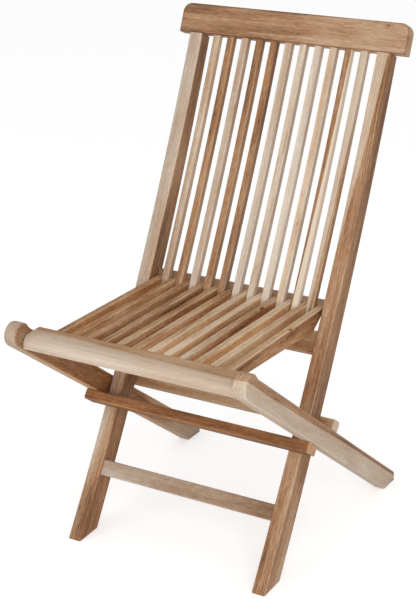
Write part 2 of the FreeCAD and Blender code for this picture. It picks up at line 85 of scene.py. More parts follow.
def rounded(width, depth, radii, inset=0.0, steps=4):
    # Section with rounded corners: points across and deep, and how far round a corner each is.
    loop = []
    for (side, rear), radius in zip(((1, 1), (-1, 1), (-1, -1), (1, -1)), radii):
        radius = max(radius - inset, LEAST_ROUND)
        middle = Vector((side * (width / 2 - inset - radius), rear * (depth / 2 - inset - radius)))
        start = math.atan2(rear, side) - math.pi / 4
        for step in range(-1, steps + 2):
            turn = start + min(max(step, 0), steps) / steps * math.pi / 2
            point = middle + radius * Vector((math.cos(turn), math.sin(turn)))
            beyond = (step > steps) - (step < 0)
            point += STRIP * beyond * Vector((-math.sin(turn), math.cos(turn)))
            edge = 0.0 if beyond else math.sin(2 * (turn - start))
            loop.append((point.x, point.y, edge))
    return loop


def stations(start, stop, ease, step=0.03):
    # Places along a length whose ends are eased: where each is, how far the section is drawn
    # in there, how much it is end grain, and how far round the end's edge it is.
    turns = [index * math.pi / 8 for index in range(5)]
    end = [(0.0, ease + STRIP, 1.0, 0.0)]
    end += [(ease * (1 - math.cos(q)), ease * (1 - math.sin(q)), math.cos(q), math.sin(2 * q))
            for q in turns]
    end.append((ease + STRIP, 0.0, 0.0, 0.0))
    count = max(1, round((stop - start - 2 * ease) / step))
    reach = stop - start - 2 * (ease + STRIP)
    middle = [(start + ease + STRIP + reach * index / count, 0.0, 0.0, 0.0)
              for index in range(1, count)]
    return ([(start + at, *rest) for at, *rest in end] + middle +
            [(stop - at, *rest) for at, *rest in reversed(end)])


# What a board has unless it says otherwise: no sapwood, its tone, and no knot near
NO_SAP, SAP_TONE, NO_KNOT = (0, 0, 0, -1), 0.38, (5, 5, 5)
LEAST_WARMTH = 0.3


def season(mesh, boards):
    # Gives each board its look. "look" is tone from pale to dark, warmth, and strength of
    # figure. "shade" is how tone drifts across, through and along the board and as it twists,
    # "glow" how warmth drifts, at last with the square of the length. These drifts are partly
    # the board's own colour and partly painted light: they make side faces paler, darker,
    # warmer or greyer than the front or top, standing in for the light, shade and warm bounced
    # light that fall on them. "sap" is the plane where sapwood begins, "pale" its tone, "knot"
    # the place of a knot. "from" numbers the first board, so that no two pieces have the same
    # figure. Drift makes no board greyer than the least warmth.
    for key in ("look", "state", "knot"):
        mesh.attributes.new(key, "FLOAT_VECTOR", "POINT")
    mesh.attributes.new("pale", "FLOAT", "POINT")
    grain, edge, number, look, state, knot, pale = (
        mesh.attributes[key].data
        for key in ("grain", "edge", "board", "look", "state", "knot", "pale"))
    end = mesh.attributes["end"].data if "end" in mesh.attributes else None
    for index in range(len(mesh.vertices)):
        board = boards[int(round(number[index].value)) % len(boards)]
        tone, warmth, figure = board["look"]
        across, deep, along, least = board.get("sap", NO_SAP)
        x, y, s = grain[index].vector
        # Drift across and through the board: partly its own colour, partly painted light and shade
        # on its side faces
        for rate, value in zip(board.get("shade", ()), (x, y, s, x * s)):
            tone += rate * value
        for rate, value in zip(board.get("glow", ()), (x, y, s, s * s)):
            warmth += rate * value
        warmth = max(warmth, min(board["look"][1], LEAST_WARMTH))
        look[index].vector = (tone, warmth, figure)
        pale[index].value = board.get("pale", SAP_TONE)
        state[index].vector = (edge[index].value, end[index].value if end else 0.0,
                               across * x + deep * y + along * s + least)
        knot[index].vector = board.get("knot", NO_KNOT)
    for item in number:
        item.value += boards[0].get("from", 0)


SHARP = math.radians(40)


def fitted(name, mesh, body, nodes, slot):
    # Puts a finished mesh in the chair in place of its plain parts.
    shape = bmesh.new()
    shape.from_mesh(mesh)
    bmesh.ops.recalc_face_normals(shape, faces=shape.faces)
    shape.to_mesh(mesh)
    shape.free()
    mesh.polygons.foreach_set("use_smooth", [True] * len(mesh.polygons))
    mesh.set_sharp_from_angle(angle=SHARP)
    if not mesh.materials:
        mesh.materials.append(TEAK[slot])
    piece = bpy.data.objects.new(name, mesh)
    bpy.context.scene.collection.objects.link(piece)
    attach(piece, body)
    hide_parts(*nodes)


def wooden(name, places, ring_at, board, body, nodes, slot):
    # Solid through sections at the given places; ring_at gives each section's points,
    # their place in the grain and how rounded they are.
    verts, grains, edges, ends, faces, size = [], [], [], [], [], 0
    for at, inset, end, turned in places:
        ring = ring_at(at, inset)
        size = len(ring)
        for point, grain, edge in ring:
            verts.append(point)
            grains.append(grain)
            edges.append(max(edge, turned))
            ends.append(end)
    for row in range(len(places) - 1):
        for col in range(size):
            a, b = row * size + col, row * size + (col + 1) % size
            faces.append((a, b, b + size, a + size))
    faces.append(tuple(reversed(range(size))))
    faces.append(tuple(range(len(verts) - size, len(verts))))
    mesh = bpy.data.meshes.new(name)
    mesh.from_pydata(verts, [], faces)
    for key, kind, values in (("grain", "FLOAT_VECTOR", grains), ("edge", "FLOAT", edges),
                              ("end", "FLOAT", ends), ("board", "FLOAT", [0.0] * len(verts))):
        data = mesh.attributes.new(key, kind, "POINT").data
        for item, value in zip(data, values):
            setattr(item, "vector" if kind == "FLOAT_VECTOR" else "value", value)
    season(mesh, [board])
    fitted(name, mesh, body, nodes, slot)


def add(tree, kind, wires=(), **settings):
    # A node with its settings; wires are (socket, value or output) pairs.
    item = tree.nodes.new(kind)
    for key, value in settings.items():
        setattr(item, key, value)
    for key, value in wires:
        if isinstance(value, bpy.types.NodeSocket):
            tree.links.new(value, item.inputs[key])
        else:
            item.inputs[key].default_value = value
    return item


def calc(tree, operation, *values):
    # A sum, product or other step of arithmetic in a tree.
    return add(tree, "ShaderNodeMath", enumerate(values), operation=operation).outputs[0]


def sockets(tree, way, rows):
    # The named inputs or outputs of a tree.
    for name, kind, value in rows:
        item = tree.interface.new_socket(name, in_out=way, socket_type="NodeSocket" + kind)
        if value is not None:
            item.default_value = value


# Teak by tone, from the palest boards to the dark heart of a knot
TEAK_TONES = ((0.0, (0.72, 0.605, 0.49)), (0.25, (0.58, 0.458, 0.35)),
              (0.45, (0.48, 0.335, 0.225)), (0.65, (0.375, 0.218, 0.12)),
              (0.82, (0.265, 0.135, 0.065)), (1.0, (0.135, 0.064, 0.03)))
# The tint of a grey, cool board and of an orange, warm one
COOL, WARM = (0.86, 1.02, 1.24, 1), (1.21, 0.97, 0.64, 1)
# How far the pith may lie to a side of the board and behind it, and how near it comes
PITH_ASIDE, PITH_BEHIND, PITH_NEAR = 0.12, 0.06, 0.02
# How much the rings lean along the board, wander, and are pushed aside by a knot
RING_LEAN, RING_WANDER, RING_PUSH = 0.05, 0.03, 0.008
# How far the grain swirls round a knot, and the inner and outer radius of its dark core
KNOT_SWIRL, KNOT_HEART, KNOT_EDGE = 0.022, 0.0012, 0.0042
# How soft the line between heartwood and sapwood is, and how far it wavers
SAP_BLUR, SAP_WAVER = 0.0012, 0.006


def teak_wood():
    # Bare sanded teak in the board's own grain: growth rings round a distant pith, fibres,
    # pores, flecks, slow colour changes, pale sapwood, knots, and eased edges made lighter,
    # partly as wear and partly as a painted highlight, or, where the strength is negative,
    # darker as a painted shade line.
    tree = bpy.data.node_groups.new("teak_wood", "ShaderNodeTree")
    sockets(tree, "INPUT", (
        ("Grain", "Vector", (0, 0, 0)), ("Board", "Float", 0.0), ("Look", "Vector", (0.4, 0.5, 1)),
        ("State", "Vector", (0, 0, -1)), ("Knot", "Vector", NO_KNOT), ("Pale", "Float", SAP_TONE),
        ("Ring Width", "Float", 0.004), ("Ring Depth", "Float", 0.2),
        ("Streaks", "Float", 0.3), ("Clouds", "Float", 0.3), ("Mottle", "Float", 0.35),
        ("Edge Wear", "Float", 0.12)))
    sockets(tree, "OUTPUT", (
        ("Color", "Color", None), ("Roughness", "Float", None), ("Height", "Float", None)))
    given = add(tree, "NodeGroupInput").outputs
    chance = add(tree, "ShaderNodeTexWhiteNoise", [("W", given["Board"])],
                 noise_dimensions="1D").outputs["Color"]
    luck = add(tree, "ShaderNodeSeparateXYZ", [(0, chance)]).outputs
    shift = add(tree, "ShaderNodeVectorMath", [(0, chance), (1, (19, 23, 29))],
                operation="MULTIPLY").outputs[0]
    place = add(tree, "ShaderNodeSeparateXYZ", [(0, given["Grain"])]).outputs
    look = add(tree, "ShaderNodeSeparateXYZ", [(0, given["Look"])]).outputs
    state = add(tree, "ShaderNodeSeparateXYZ", [(0, given["State"])]).outputs

    def noise(across, along, detail, rough=0.5):
        # Noise drawn out along the grain, from below to above zero.
        vector = add(tree, "ShaderNodeVectorMath", [
            (0, given["Grain"]), (1, (across, across, along)), (2, shift)],
            operation="MULTIPLY_ADD").outputs[0]
        texture = add(tree, "ShaderNodeTexNoise", [
            ("Vector", vector), ("Scale", 1.0), ("Detail", detail), ("Roughness", rough)])
        return calc(tree, "SUBTRACT", texture.outputs[0], 0.5)

    def step(value, low, high):
        # A soft step from 0 to 1.
        return add(tree, "ShaderNodeMapRange", [
            (0, value), (1, low), (2, high), (3, 0.0), (4, 1.0)],
            interpolation_type="SMOOTHSTEP").outputs[0]

    # Knot: twice as long as it is wide, with the grain swirling round it
    spot = add(tree, "ShaderNodeVectorMath", [
        (0, given["Grain"]), (1, given["Knot"])], operation="SUBTRACT").outputs[0]
    spot = add(tree, "ShaderNodeVectorMath", [(0, spot), (1, (1.0, 1.0, 0.5))],
               operation="MULTIPLY").outputs[0]
    spot = add(tree, "ShaderNodeVectorMath", [(0, spot)], operation="LENGTH").outputs["Value"]
    swirl = calc(tree, "SUBTRACT", 1.0, step(spot, 0.0, KNOT_SWIRL))
    core = calc(tree, "SUBTRACT", 1.0, step(spot, KNOT_HEART, KNOT_EDGE))

    # Growth rings: circles round a pith behind the board, a little bent and askew, each
    # darkening slowly and ending at once
    slow = noise(14.0, 2.6, 2.0)
    tilt = calc(tree, "MULTIPLY", calc(tree, "SUBTRACT", luck[2], 0.5), place[2])
    away = calc(tree, "MULTIPLY_ADD", calc(tree, "SUBTRACT", luck[0], 0.5), PITH_ASIDE, place[0])
    away = calc(tree, "MULTIPLY_ADD", tilt, RING_LEAN, away)
    behind = calc(tree, "MULTIPLY_ADD", luck[1], PITH_BEHIND, PITH_NEAR)
    behind = calc(tree, "ADD", place[1], behind)
    radius = calc(tree, "SQRT", calc(tree, "ADD", calc(tree, "MULTIPLY", away, away),
                                     calc(tree, "MULTIPLY", behind, behind)))
    radius = calc(tree, "MULTIPLY_ADD", slow, RING_WANDER, radius)
    radius = calc(tree, "MULTIPLY_ADD", swirl, RING_PUSH, radius)
    rings = calc(tree, "FRACT", calc(tree, "DIVIDE", radius, given["Ring Width"]))
    ended = calc(tree, "SUBTRACT", 1.0, step(rings, 0.9, 1.0))
    late = calc(tree, "MULTIPLY", step(rings, 0.25, 0.86), ended)
    faint = calc(tree, "MAXIMUM", calc(tree, "MULTIPLY_ADD", noise(40.0, 6.0, 1.0), 4.0, 0.7), 0.1)
    figure = calc(tree, "MULTIPLY", look[2], faint)
    ring_tone = calc(tree, "MULTIPLY", calc(tree, "SUBTRACT", late, 0.4), given["Ring Depth"])

    # Heartwood: the board's tone with its rings, fibres, pores, clouds and flecks
    fibre = noise(330.0, 7.0, 4.0, 0.6)
    pores = noise(1500.0, 60.0, 1.0)
    cloud = noise(26.0, 5.0, 2.0)
    mottle = noise(120.0, 10.0, 3.0, 0.6)
    flecks = noise(420.0, 85.0, 3.0, 0.65)
    speckle = calc(tree, "MULTIPLY_ADD", flecks, 1.3, mottle)
    tone = calc(tree, "MULTIPLY_ADD", ring_tone, figure, look[0])
    tone = calc(tree, "MULTIPLY_ADD", fibre, given["Streaks"], tone)
    tone = calc(tree, "MULTIPLY_ADD", pores, calc(tree, "MULTIPLY", given["Streaks"], 0.4), tone)
    tone = calc(tree, "MULTIPLY_ADD", cloud, given["Clouds"], tone)
    tone = calc(tree, "MULTIPLY_ADD", speckle, given["Mottle"], tone)

    # Sapwood: paler and plainer, then edge wear with painted edge light, end grain and knots over
    # both
    edge_of_sap = calc(tree, "MULTIPLY_ADD", noise(60.0, 4.0, 2.0), SAP_WAVER, state[2])
    sap = step(edge_of_sap, -SAP_BLUR, SAP_BLUR)
    pale = calc(tree, "MULTIPLY_ADD", calc(tree, "SUBTRACT", tone, look[0]), 0.7, given["Pale"])
    tone = add(tree, "ShaderNodeMix", [(0, sap), (2, tone), (3, pale)]).outputs[0]
    # Eased edges lighter, partly wear and partly a painted highlight; with a negative strength,
    # darker as painted shade
    worn_and_lit_edges = calc(tree, "MULTIPLY", calc(tree, "MULTIPLY_ADD", slow, 1.5, 1.0), given["Edge Wear"])
    tone = calc(tree, "SUBTRACT", tone, calc(tree, "MULTIPLY", worn_and_lit_edges, state[0]))
    tone = calc(tree, "MULTIPLY_ADD", state[1], 0.06, tone)
    tone = calc(tree, "MULTIPLY_ADD", core, 0.55, tone)
    tone = calc(tree, "MULTIPLY_ADD", swirl, 0.1, tone)

    # Colour from tone and warmth, with sapwood less warm
    ramp = add(tree, "ShaderNodeValToRGB", [(0, tone)])
    stops = ramp.color_ramp.elements
    stops.remove(stops[1])
    for position, color in TEAK_TONES:
        stop = stops[0] if position == 0.0 else stops.new(position)
        stop.color = (*color, 1)
    warmth = calc(tree, "MULTIPLY_ADD", sap, -0.3, look[1])
    warmth = calc(tree, "MULTIPLY_ADD", warmth, 0.4, 0.2)
    tint = add(tree, "ShaderNodeMix", [(0, warmth), (6, COOL), (7, WARM)], data_type="RGBA")
    color = add(tree, "ShaderNodeMix", [
        (0, 1.0), (6, ramp.outputs[0]), (7, tint.outputs[2])], data_type="RGBA",
        blend_type="MULTIPLY")
    rough = calc(tree, "MULTIPLY_ADD", fibre, 0.3, calc(tree, "MULTIPLY_ADD", late, -0.06, 0.66))
    height = calc(tree, "MULTIPLY_ADD", pores, 0.9, calc(tree, "MULTIPLY_ADD", late, 0.25, fibre))
    add(tree, "NodeGroupOutput", [
        ("Color", color.outputs[2]), ("Roughness", rough), ("Height", height)])
    return tree


WOOD = teak_wood()
TEAK = {}
# Bare wood feels a little rough and hardly shines
BUMP_STRENGTH, BUMP_HEIGHT, SHEEN_LEVEL = 0.35, 0.0006, 0.3


def teak(slot, **values):
    # The finish of one kind of piece: teak with its own ring width and strengths.
    material = bpy.data.materials.new(slot)
    material.use_nodes = True
    tree = material.node_tree
    shader = tree.nodes["Principled BSDF"]
    wood = add(tree, "ShaderNodeGroup", node_tree=WOOD)
    for name, output in (("grain", "Vector"), ("look", "Vector"), ("state", "Vector"),
                         ("knot", "Vector"), ("board", "Fac"), ("pale", "Fac")):
        read = add(tree, "ShaderNodeAttribute", attribute_name=name)
        tree.links.new(read.outputs[output], wood.inputs[name.capitalize()])
    for name, value in values.items():
        wood.inputs[name.replace("_", " ").title()].default_value = value
    bump = add(tree, "ShaderNodeBump", [
        ("Height", wood.outputs["Height"]), ("Strength", BUMP_STRENGTH), ("Distance", BUMP_HEIGHT)])
    tree.links.new(wood.outputs["Color"], shader.inputs["Base Color"])
    tree.links.new(wood.outputs["Roughness"], shader.inputs["Roughness"])
    tree.links.new(bump.outputs["Normal"], shader.inputs["Normal"])
    shader.inputs["Specular IOR Level"].default_value = SHEEN_LEVEL
    TEAK[slot] = material


def post_ring(middle):
    # Sections of a post. The depth belongs to the place where the section meets the rear
    # edge, which is found in four rounds from a rough depth.
    def ring(share, inset):
        depth = ROUGH_DEPTH
        for _ in range(4):
            depth = post_depth(post_point(share, depth)[0])
        points = []
        for across, deep, edge in rounded(POST_WIDTH, depth, EASED, inset):
            along, (y, z) = post_point(share, deep + depth / 2)
            points.append(((middle + across, y, z), (across, deep, along), edge))
        return points
    return ring


teak("teak_post", ring_width=0.0045, ring_depth=0.12, streaks=0.55, clouds=0.9, mottle=0.5)
POST_MIDDLE = (POST_SPAN - POST_WIDTH) / 2
post_places = [(at / POST_LENGTH, *rest)
               for at, *rest in stations(0.0, POST_LENGTH, ease=0.0015, step=0.015)]
# The drift across the posts makes their sides differ from their fronts, partly painted light. The
# left post's front is brown low down, under the seat: partly its heartwood, partly painted shade.
for side, sign, board in (
        ("left", -1, {"look": (0.68, 0.60, 1.0), "shade": (14, 0, -0.12), "glow": (46, 0, -0.4),
                      "sap": (0, -3, 0.035, -0.0764), "pale": 0.38, "from": 1}),
        ("right", 1, {"look": (0.71, 0.78, 1.0), "shade": (-6, 0, 0, 20), "glow": (0, 0, 0.2),
                      "sap": (-1, 0, 0.055, -0.0435), "pale": 0.36, "from": 2})):
    wooden(side + "_post", post_places, post_ring(sign * POST_MIDDLE), board,
           "back_frame", ["post_" + side], "teak_post")


# Crest rail. One board across the top of the posts and slats, mortised for them from below,
# its upper corners rounded on the bandsaw and all its edges eased.
# Its eased edges are darkened: a painted shade line along them
teak("teak_crest", ring_width=0.009, ring_depth=0.12, streaks=0.4, clouds=0.9, mottle=0.45,
     edge_wear=-0.25)
CREST_HALF, CREST_HEIGHT, CREST_DEPTH, CREST_SETBACK = 0.22825, 0.0549, 0.024, 0.004
CREST_CORNER, CREST_LOW_CORNER = 0.017, 0.0015
QUARTER = math.pi / 2


def inset_outline(outline, inset):
    # The outline drawn in by the same distance all round, with a limit at sharp corners.
    count, moved = len(outline), []
    for index, (x, y) in enumerate(outline):
        before, after = Vector(outline[index - 1]), Vector(outline[(index + 1) % count])
        one, two = Vector((x, y)) - before, after - Vector((x, y))
        one, two = Vector((-one.y, one.x)).normalized(), Vector((-two.y, two.x)).normalized()
        shift = (one + two) * (inset / max(1.0 + one.dot(two), 0.2))
        moved.append((x + shift.x, y + shift.y))
    return moved


def arc(middle, radius, start, stop, steps):
    # Points round a middle, from one angle to another.
    return [(middle[0] + radius * math.cos(start + (stop - start) * k / steps),
             middle[1] + radius * math.sin(start + (stop - start) * k / steps))
            for k in range(steps + 1)]


def crest_corner(side, height, radius, start, steps):
    # A corner of the crest rail as seen from the front, its round centred at that height.
    return arc((side * (CREST_HALF - radius), height), radius, start, start + QUARTER, steps)


crest_outline = (
    crest_corner(-1, CREST_LOW_CORNER, CREST_LOW_CORNER, 2 * QUARTER, 3) +
    crest_corner(1, CREST_LOW_CORNER, CREST_LOW_CORNER, -QUARTER, 3) +
    crest_corner(1, CREST_HEIGHT - CREST_CORNER, CREST_CORNER, 0, 10) +
    crest_corner(-1, CREST_HEIGHT - CREST_CORNER, CREST_CORNER, QUARTER, 10))


def crest_ring(deep, inset):
    points = []
    for x, up in inset_outline(crest_outline, inset):
        y, z = on_back(POST_LENGTH + up, CREST_SETBACK + deep)
        points.append(((x, y, z), (up, deep, x), 0.0))
    return points


wooden("crest", stations(0.0, CREST_DEPTH, ease=0.0035), crest_ring,
       {"look": (0.60, 0.75, 1.0), "shade": (0, 0, -0.35), "knot": (0.047, -0.0026, 0.187),
        "from": 4},
       "back_frame", ["crest_rail"], "teak_crest")


# Back slats. Eleven thin bowed slats stand between the lower back rail and the crest rail,
# each cut from a different board, so their colours differ.
teak("teak_back_slat", ring_width=0.0035, ring_depth=0.14, streaks=0.5, clouds=0.7, mottle=0.5)
BACK_SLATS, PITCH, SLAT_WIDTH, SLAT_DEPTH = 11, 0.0298, 0.014, 0.0150
SLAT_FROM, SLAT_LENGTH, SLAT_SETBACK = 0.465, 0.498, 0.0065


def slat_row(name, rows):
    # Start of a slat tree: the section drawn along a straight length, its place kept as
    # grain, and a copy set at every pitch. Returns the tree, its inputs, the row and the
    # three parts of a point's place.
    tree = bpy.data.node_groups.new(name, "GeometryNodeTree")
    sockets(tree, "INPUT", (("Section", "Geometry", None), ("Material", "Material", None)) + rows)
    sockets(tree, "OUTPUT", (("Slats", "Geometry", None),))
    given = add(tree, "NodeGroupInput").outputs
    tip = add(tree, "ShaderNodeCombineXYZ", [(2, given["Length"])]).outputs[0]
    line = add(tree, "GeometryNodeCurvePrimitiveLine", [("End", tip)]).outputs[0]
    line = add(tree, "GeometryNodeResampleCurve", [("Curve", line), ("Count", given["Steps"])])
    section = add(tree, "GeometryNodeMeshToCurve", [("Mesh", given["Section"])]).outputs[0]
    slat = add(tree, "GeometryNodeCurveToMesh", [
        ("Curve", line.outputs[0]), ("Profile Curve", section), ("Fill Caps", True)]).outputs[0]
    here = add(tree, "GeometryNodeInputPosition").outputs[0]
    slat = add(tree, "GeometryNodeStoreNamedAttribute", [
        ("Geometry", slat), ("Name", "grain"), ("Value", here)], data_type="FLOAT_VECTOR")
    half = calc(tree, "MULTIPLY", calc(tree, "SUBTRACT", given["Count"], 1), -0.5)
    first = add(tree, "ShaderNodeCombineXYZ", [(0, calc(tree, "MULTIPLY", half, given["Pitch"]))])
    pitch = add(tree, "ShaderNodeCombineXYZ", [(0, given["Pitch"])])
    places = add(tree, "GeometryNodeMeshLine", [
        ("Count", given["Count"]), ("Start Location", first.outputs[0]),
        ("Offset", pitch.outputs[0])])
    number = add(tree, "GeometryNodeInputIndex").outputs[0]
    places = add(tree, "GeometryNodeStoreNamedAttribute", [
        ("Geometry", places.outputs[0]), ("Name", "board"), ("Value", number)], data_type="FLOAT")
    slats = add(tree, "GeometryNodeInstanceOnPoints", [
        ("Points", places.outputs[0]), ("Instance", slat.outputs[0])])
    slats = add(tree, "GeometryNodeRealizeInstances", [("Geometry", slats.outputs[0])])
    place = add(tree, "ShaderNodeSeparateXYZ", [(0, here)]).outputs
    return tree, given, slats.outputs[0], place


def slats_from(name, tree, given, slats, goal, depth, boards, body, nodes, slot):
    # End of a slat tree: moves the row into its final shape, then makes it a plain mesh.
    # The section has the front edge of the slat at no depth.
    goal = add(tree, "ShaderNodeCombineXYZ", enumerate(goal)).outputs[0]
    slats = add(tree, "GeometryNodeSetPosition", [("Geometry", slats), ("Position", goal)])
    slats = add(tree, "GeometryNodeSetMaterial", [
        ("Geometry", slats.outputs[0]), ("Material", given["Material"])])
    add(tree, "NodeGroupOutput", [("Slats", slats.outputs[0])])
    section = rounded(SLAT_WIDTH, depth, EASED)
    sides = [(index, (index + 1) % len(section)) for index in range(len(section))]
    mesh = bpy.data.meshes.new(name + "_section")
    mesh.from_pydata([(across, deep + depth / 2, 0) for across, deep, _ in section], sides, [])
    edge = mesh.attributes.new("edge", "FLOAT", "POINT").data
    for item, (_, _, value) in zip(edge, section):
        item.value = value
    maker = bpy.data.objects.new(name + "_maker", mesh)
    bpy.context.scene.collection.objects.link(maker)
    modifier = maker.modifiers.new("slats", "NODES")
    modifier.node_group = tree
    modifier[tree.interface.items_tree["Material"].identifier] = TEAK[slot]
    graph = bpy.context.evaluated_depsgraph_get()
    made = bpy.data.meshes.new_from_object(maker.evaluated_get(graph), depsgraph=graph)
    maker.modifiers.remove(modifier)
    bpy.data.objects.remove(maker)
    made.name = name
    season(made, boards)
    fitted(name, made, body, nodes, slot)


tree, given, slats, (x, deep, up) = slat_row("bowed_slats", (
    ("Count", "Int", BACK_SLATS), ("Steps", "Int", 41), ("Pitch", "Float", PITCH),
    ("Length", "Float", SLAT_LENGTH), ("From", "Float", SLAT_FROM),
    ("Setback", "Float", SLAT_SETBACK), ("Bow Radius", "Float", BOW), ("Lean", "Float", LEAN),
    ("Bow Y", "Float", BOW_Y), ("Bow Z", "Float", BOW_Z)))
turn = calc(tree, "DIVIDE", calc(tree, "ADD", up, given["From"]), given["Bow Radius"])
turn = calc(tree, "SUBTRACT", turn, given["Lean"])
reach = calc(tree, "ADD", calc(tree, "ADD", deep, given["Setback"]), given["Bow Radius"])
y = calc(tree, "MULTIPLY_ADD", reach, calc(tree, "COSINE", turn), given["Bow Y"])
z = calc(tree, "MULTIPLY_ADD", reach, calc(tree, "SINE", turn), given["Bow Z"])
# From left to right as seen from the front
# Their drift across makes each slat's side face paler, darker, warmer or greyer than its front:
# partly the board's own colour, partly painted light for the shade and bounced light between the
# slats.
back_boards = [
    {"look": (0.59, 0.30, 1.0), "shade": (-12, 0, -0.55), "glow": (40, 0, 0.8), "from": 10},
    {"look": (0.54, 1.0, 0.8), "shade": (-10, 0, 0.65)},
    {"look": (0.28, 0.45, 1.0), "shade": (-4, 0, 0.32), "glow": (20, 0, 0)},
    {"look": (0.57, 1.0, 0.8), "shade": (-6, 0, 0.64), "glow": (-40, 0, 0)},
    {"look": (0.61, 0.70, 1.0), "shade": (12, 0, 0.5), "glow": (-75, 0, 1.2)},
    {"look": (0.18, 0.30, 0.9), "shade": (14, 0, 0.32), "glow": (-15, 0, 0.5)},
    {"look": (0.31, 0.60, 2.2), "shade": (12, 0, -0.08), "glow": (-50, 0, 0)},
    {"look": (0.04, 0.40, 0.8), "shade": (20, 0, 0.4), "glow": (-65, 0, 0)},
    {"look": (0.19, 0.90, 0.9), "shade": (4, 0, 0.32), "glow": (-55, 0, 0),
     "knot": (0.001, -0.0027, 0.178)},
    {"look": (0.80, 0.95, 1.0), "sap": (1.6, 0, -0.034, 0.0078), "pale": -0.02},
    {"look": (0.73, 0.85, 1.2), "shade": (-16, 0, 0), "sap": (-1, 0, 0.024, -0.0015),
     "pale": 0.28},
]
slats_from("back_slats", tree, given, slats, (x, y, z), SLAT_DEPTH, back_boards, "back_frame",
           ["back_slat_%02d" % number for number in range(1, BACK_SLATS + 1)], "teak_back_slat")


# Lower back rail and front stretcher. Two straight rails tenoned between the posts, one
# under the back slats and one low at the front.
teak("teak_rail", ring_width=0.006, ring_depth=0.07, streaks=0.4, clouds=0.95, mottle=0.45)
BETWEEN_HALF, RAIL_DEPTH = POST_SPAN / 2 - POST_WIDTH, 0.020


def rail_ring(point, width, depth):
    # Rail along X with its section in the side view, set there by point(across, deep).
    def ring(x, inset):
        points = []
        for across, deep, edge in rounded(width, depth, EASED, inset):
            y, z = point(across + width / 2, deep + depth / 2)
            points.append(((x, y, z), (across, deep, x), edge))
        return points
    return ring


def back_spot(at, setback):
    # Places on the back, measured from a rail's lower front edge.
    return lambda up, deep: on_back(at + up, setback + deep)


# Each has its place up the posts, how far it is set back, and its height
for name, node, at, setback, height, board in (
        ("lower_rail", "lower_back_rail", 0.423, 0.0065, 0.042,
         {"look": (0.58, 0.85, 1.0), "from": 30}),
        ("stretcher", "front_stretcher", 0.127, 0.005, 0.029,
         {"look": (0.65, -0.05, 1.0), "shade": (0, 0, 0.85), "from": 31})):
    wooden(name, stations(-BETWEEN_HALF, BETWEEN_HALF, ease=0.0005),
           rail_ring(back_spot(at, setback), height, RAIL_DEPTH), board,
           "back_frame", [node], "teak_rail")


# Rear legs. Two straight legs cross the posts on their outside, with a rounded knuckle at
# the front end for the seat rail's pivot and a foot cut level with the floor and upright
# behind.
teak("teak_leg", ring_width=0.007, ring_depth=0.12, streaks=0.45, clouds=0.45, mottle=0.45)
PIVOT, SLOPE = on_back(0.288, 0.0195), math.radians(37.78)
LEG_HALF, LEG_REACH, LEG_INNER, LEG_DEPTH = 0.02015, 0.3310, 0.206, 0.024
KNUCKLE, KNUCKLE_RISE, LEG_FOOT, FOOT_EASE = 0.022, 0.0017, 0.044, 0.0012


def on_leg(along, up):
    # Side view of the legs: along them from the crossing to the foot, up from their middle.
    return (PIVOT[0] + along * math.cos(SLOPE) + up * math.sin(SLOPE),
            PIVOT[1] - along * math.sin(SLOPE) + up * math.cos(SLOPE))


def bent(before, corner, after, steps):
    # A corner drawn as a smooth bend from the point before it to the point after it.
    bend = []
    for k in range(steps + 1):
        t = k / steps
        bend.append(tuple((1 - t) ** 2 * a + 2 * t * (1 - t) * b + t * t * c
                          for a, b, c in zip(before, corner, after)))
    return bend


def towards(start, goal, distance):
    # The point at that distance from start on the way to goal.
    start, goal = Vector(start), Vector(goal)
    return tuple(start + (goal - start).normalized() * distance)


# The foot's corners, from the front of its sole over the heel to the leg's upper edge
foot_start = (PIVOT[1] - LEG_HALF * math.cos(SLOPE)) / math.sin(SLOPE)
foot_end = foot_start + LEG_FOOT * math.cos(SLOPE)
foot_rise = LEG_FOOT * math.sin(SLOPE) - LEG_HALF
foot_cut = (LEG_HALF - foot_rise) / math.cos(SLOPE)
heel = [(foot_start, -LEG_HALF), (foot_end, foot_rise),
        (foot_end - foot_cut * math.sin(SLOPE), LEG_HALF)]
# The straight edges have points at this spacing
EDGE_STEP = 0.04
# The knuckle is a wide round. Bends lead from it into the straight edges: how far round
# they leave it, above and below, and how far they run along the edges
UPPER_TURN, LOWER_TURN, UPPER_RUN, LOWER_RUN = 0.34, 0.13, 0.0075, 0.003
upper = math.sqrt(KNUCKLE ** 2 - (LEG_HALF - KNUCKLE_RISE) ** 2)
lower = math.sqrt(KNUCKLE ** 2 - (LEG_HALF + KNUCKLE_RISE) ** 2)
start = math.atan2(LEG_HALF - KNUCKLE_RISE, upper)
stop = 2 * math.pi - math.atan2(LEG_HALF + KNUCKLE_RISE, lower)
upper_join, lower_join = upper - LEG_REACH, lower - LEG_REACH
knuckle = arc((-LEG_REACH, KNUCKLE_RISE), KNUCKLE, start + UPPER_TURN, stop - LOWER_TURN, 28)
leg_outline = bent((upper_join + UPPER_RUN, LEG_HALF), (upper_join, LEG_HALF), knuckle[0], 6)[:-1]
leg_outline += knuckle
leg_outline += bent(knuckle[-1], (lower_join, -LEG_HALF), (lower_join + LOWER_RUN, -LEG_HALF), 4)[1:]
leg_outline += [(lower_join + 0.02 + k * EDGE_STEP, -LEG_HALF) for k in range(16)]
before = (foot_start - 0.01, -LEG_HALF)
for corner, after in zip(heel, heel[1:] + [(upper_join + 0.02, LEG_HALF)]):
    leg_outline += bent(towards(corner, before, FOOT_EASE), corner,
                        towards(corner, after, FOOT_EASE), 3)
    before = corner
leg_outline += [(foot_end - 0.06 - k * EDGE_STEP, LEG_HALF) for k in range(15)]
leg_outline += [(upper_join + 0.02, LEG_HALF)]


def leg_ring(x, inset):
    points = []
    for along, up in inset_outline(leg_outline, inset):
        y, z = on_leg(along, up)
        points.append(((x, y, z), (up, x, along), 0.0))
    return points


